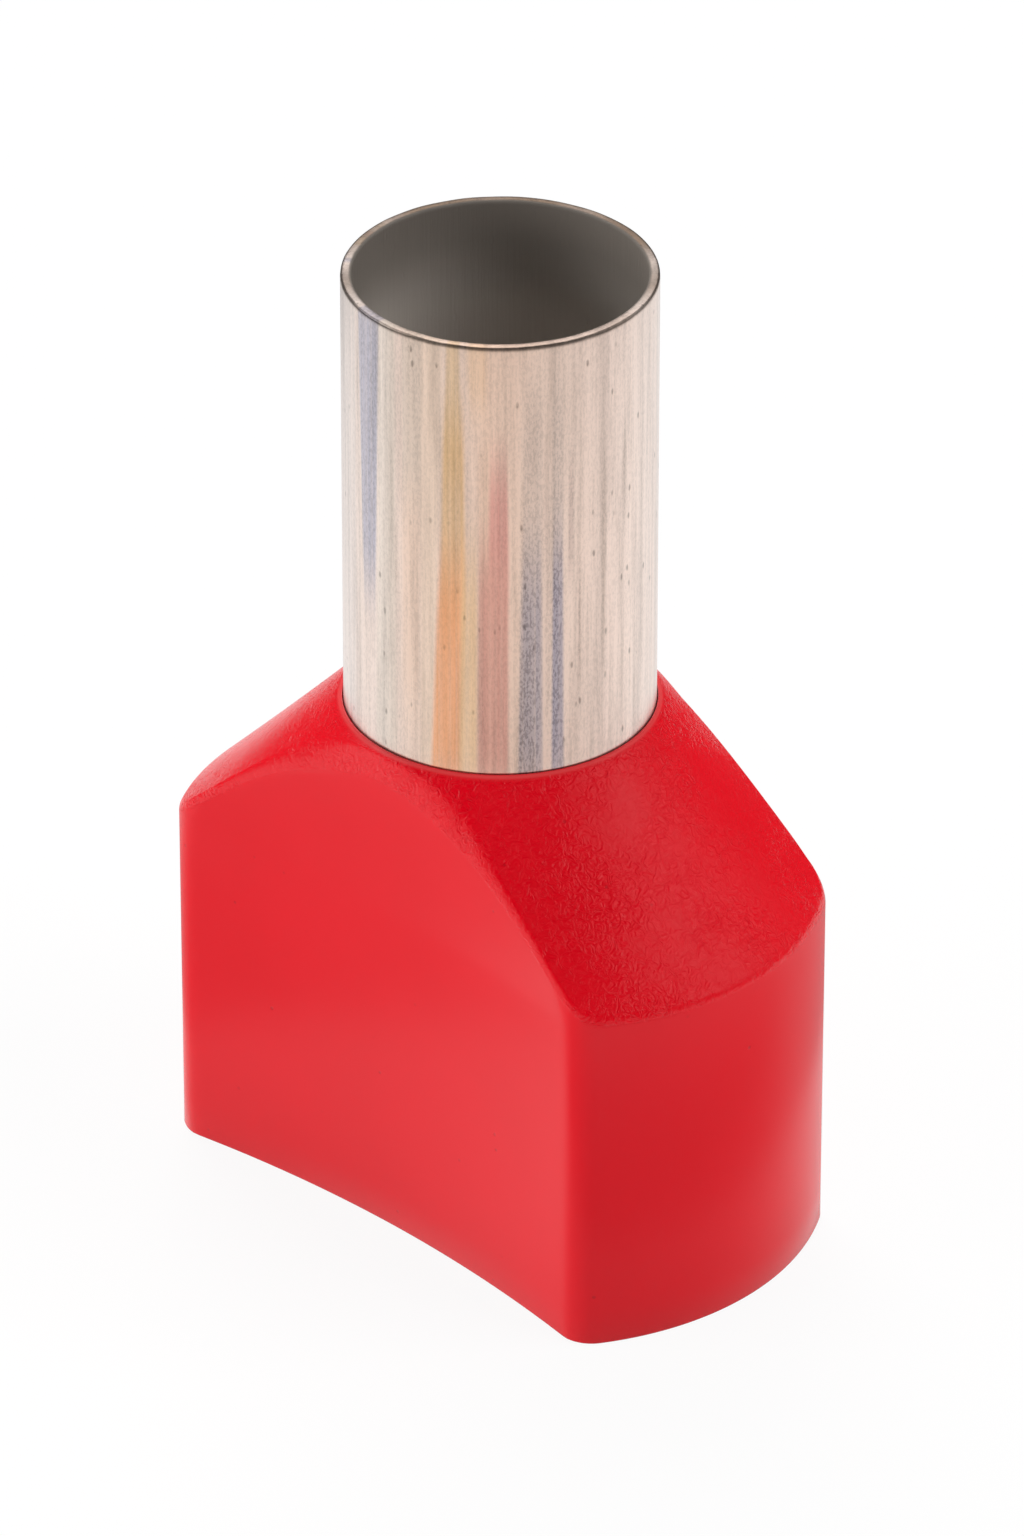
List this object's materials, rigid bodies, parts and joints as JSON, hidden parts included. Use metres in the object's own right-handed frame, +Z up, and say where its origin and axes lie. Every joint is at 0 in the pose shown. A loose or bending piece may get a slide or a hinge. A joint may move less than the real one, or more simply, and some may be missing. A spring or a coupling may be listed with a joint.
{
  "type": "twin wire ferrule",
  "caption": "Twin wire ferrule: a tinned copper sleeve in a waisted red plastic collar that leads two wires side by side into one crimp sleeve.",
  "frame": {"origin": "middle of the collar's open underside, where it rests", "axes": "+Z up the sleeve's axis towards its mouth, X across the two wires (the collar's long way), Y through the broad faces"},
  "size_m": [0.0154, 0.008, 0.0233],
  "materials": {
    "tinned_copper": "tin-plated copper, pale and satin with fine lengthwise draw marks",
    "red_plastic": "satin moulded polypropylene with a fine leathery grain on the shoulders"
  },
  "bodies": {
    "root": {"sleeve": "tinned_copper", "collar": "red_plastic"}
  },
  "joints": []
}
